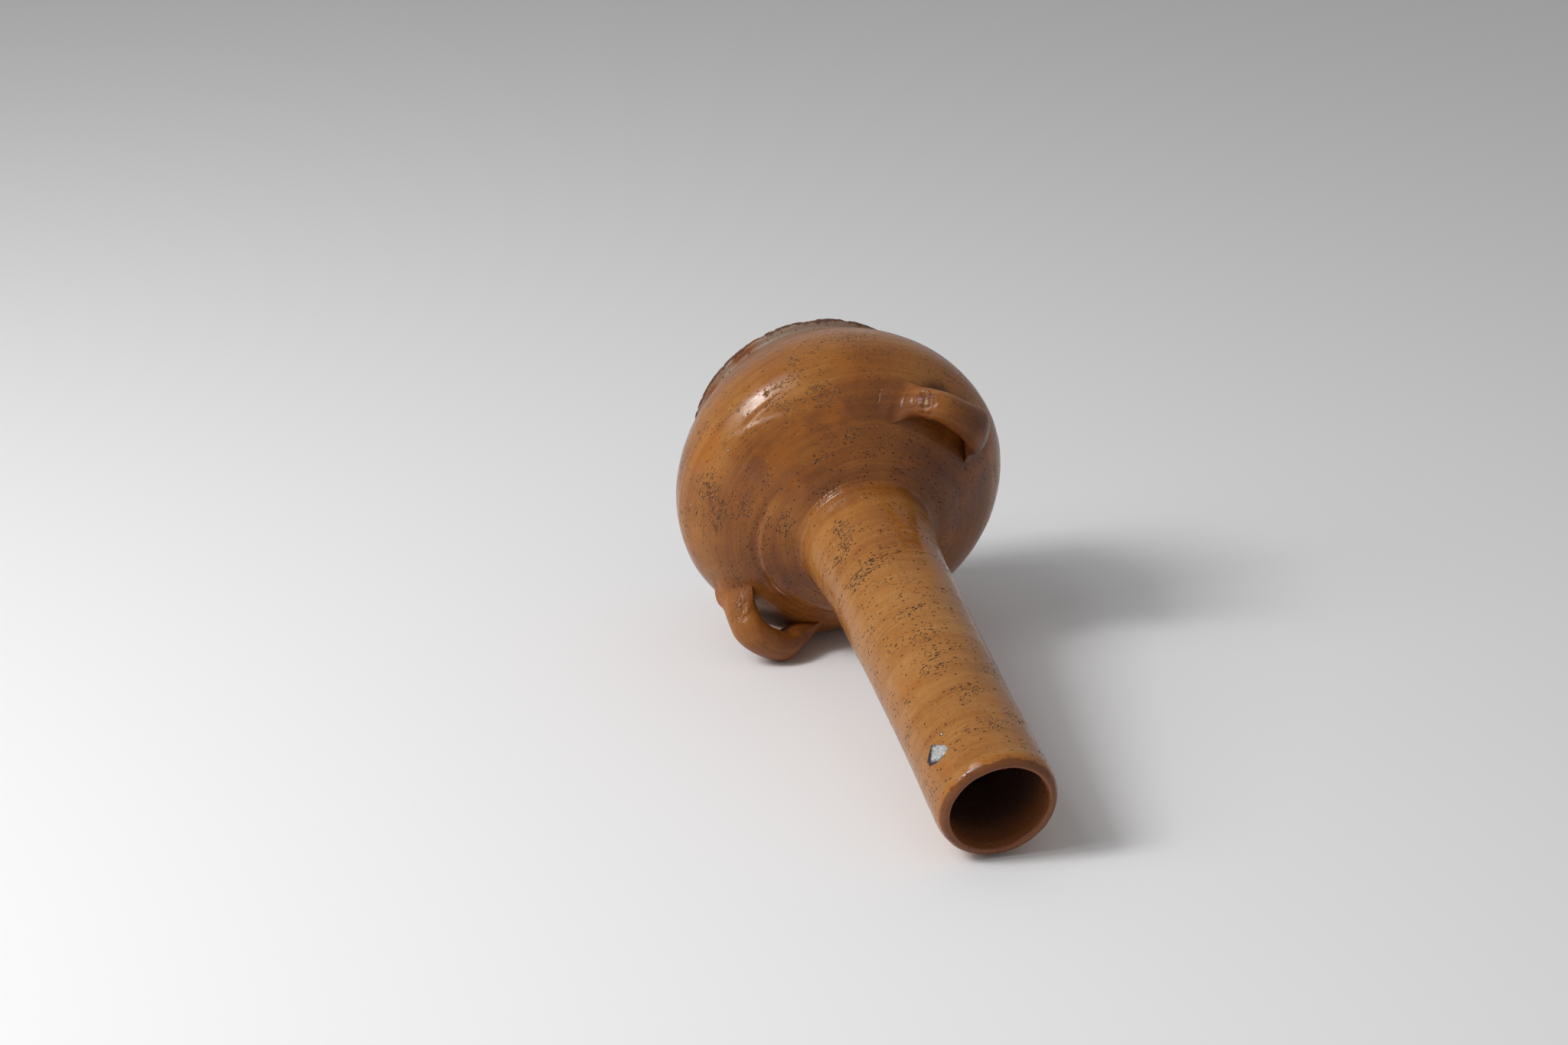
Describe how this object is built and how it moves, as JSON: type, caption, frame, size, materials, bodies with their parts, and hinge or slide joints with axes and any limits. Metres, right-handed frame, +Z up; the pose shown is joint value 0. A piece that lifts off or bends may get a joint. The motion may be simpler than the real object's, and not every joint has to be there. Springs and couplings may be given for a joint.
{
  "type": "bottle vase",
  "caption": "Globular glazed stoneware vase on a short flared foot, with a tall narrow neck, a rounded lip and small ear handles looped along its shoulder.",
  "frame": {"origin": "the middle of the flat underside of the foot", "axes": "+Z up along the vase's axis to the mouth, the ear handles on +X and -X, the side that the picture shows faces -Y"},
  "size_m": [0.2168, 0.214, 0.403],
  "materials": {
    "foot_clay": "rough fired clay under a thin, worn, chipped amber glaze",
    "body_glaze": "glossy honey-brown salt glaze, orange-peel surface, pitted and streaked",
    "neck_glaze": "glossy light honey glaze with many small dark pits",
    "handle_glaze": "glossy amber glaze over hand-pulled clay"
  },
  "bodies": {
    "root": {"base_disc": "foot_clay", "body_shell": "body_glaze", "neck_collar": "neck_glaze", "neck_tube": "neck_glaze", "left_handle": "handle_glaze", "right_handle": "handle_glaze"}
  },
  "joints": []
}
